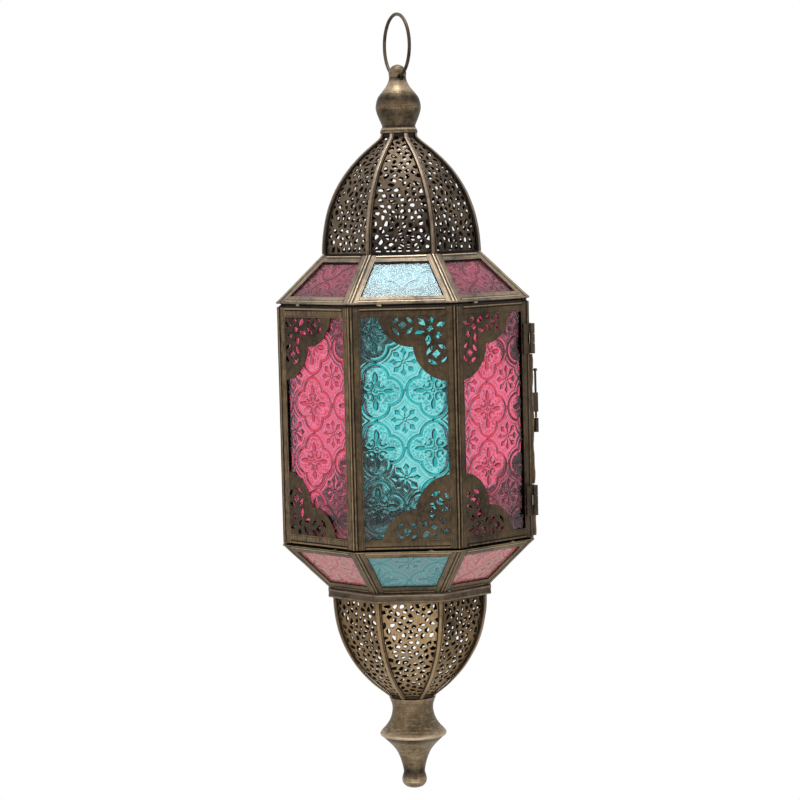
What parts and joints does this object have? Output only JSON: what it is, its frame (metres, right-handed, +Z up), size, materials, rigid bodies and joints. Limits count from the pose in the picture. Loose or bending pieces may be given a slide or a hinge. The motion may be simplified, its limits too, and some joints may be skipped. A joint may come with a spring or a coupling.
{
  "type": "moroccan hanging lantern",
  "caption": "Octagonal hanging candle lantern: coloured glass panels in metal channels between a pierced dome and a pierced bowl, with a hinged door, a drop-pin latch and a ring on top.",
  "frame": {"origin": "top of the inside of the hanging ring, where the hook carries it", "axes": "+Z up along the lantern's axis; -Y is the front, a teal panel's outward normal; +X is the door's outward normal"},
  "size_m": [0.1513, 0.1446, 0.4542],
  "materials": {
    "aged_brass": "antiqued brass sheet and turned brass, dark patina with rubbed lighter edges",
    "dark_brass": "dark patinated brass wire and small fittings",
    "teal_glass": "translucent teal glass, embossed with flowers and quatrefoils",
    "pink_glass": "translucent raspberry pink glass, embossed with flowers and quatrefoils"
  },
  "bodies": {
    "ring": {"hanging_ring": "dark_brass"},
    "lantern": {"top_finial": "aged_brass", "crown_nut": "aged_brass", "dome_cage": "aged_brass", "roof_frame": "aged_brass", "base_frame": "aged_brass", "bowl_band": "aged_brass", "bowl": "aged_brass", "bottom_finial": "aged_brass", "foot_nut": "aged_brass", "candle_tray": "dark_brass", "candle_cup": "aged_brass", "dome_gore_1": "aged_brass", "roof_glass_1": "teal_glass", "side_frame_1": "aged_brass", "side_glass_1": "teal_glass", "base_glass_1": "teal_glass", "dome_gore_2": "aged_brass", "roof_glass_2": "pink_glass", "side_frame_2": "aged_brass", "side_glass_2": "pink_glass", "base_glass_2": "pink_glass", "dome_gore_3": "aged_brass", "roof_glass_3": "teal_glass", "base_glass_3": "teal_glass", "dome_gore_4": "aged_brass", "roof_glass_4": "pink_glass", "side_frame_4": "aged_brass", "side_glass_4": "pink_glass", "base_glass_4": "pink_glass", "dome_gore_5": "aged_brass", "roof_glass_5": "teal_glass", "side_frame_5": "aged_brass", "side_glass_5": "teal_glass", "base_glass_5": "teal_glass", "dome_gore_6": "aged_brass", "roof_glass_6": "pink_glass", "side_frame_6": "aged_brass", "side_glass_6": "pink_glass", "base_glass_6": "pink_glass", "dome_gore_7": "aged_brass", "roof_glass_7": "teal_glass", "side_frame_7": "aged_brass", "side_glass_7": "teal_glass", "base_glass_7": "teal_glass", "dome_gore_8": "aged_brass", "roof_glass_8": "pink_glass", "side_frame_8": "aged_brass", "side_glass_8": "pink_glass", "base_glass_8": "pink_glass", "upper_hinge_post_leaf": "dark_brass", "lower_hinge_post_leaf": "dark_brass", "latch_post_knuckle": "dark_brass"},
    "door": {"door_frame": "aged_brass", "door_glass": "teal_glass", "upper_hinge_door_leaf": "dark_brass", "lower_hinge_door_leaf": "dark_brass", "latch_door_knuckle": "dark_brass"},
    "latch_pin": {"latch_pin": "dark_brass"}
  },
  "joints": [
    {"name": "lantern_swing", "type": "hinge", "parent": "ring", "child": "lantern", "pos_m": [0, 0, -0.035], "axis": [0.4067, -0.9135, 0], "range_deg": [-150, 150]},
    {"name": "door_swing", "type": "hinge", "parent": "lantern", "child": "door", "pos_m": [0.07352, -0.03045, -0.233], "axis": [0, 0, -1], "range_deg": [0, 210]},
    {"name": "latch_pin_slide", "type": "slide", "parent": "door", "child": "latch_pin", "axis": [0, 0, -1], "range_m": [0, 0.0128]}
  ]
}
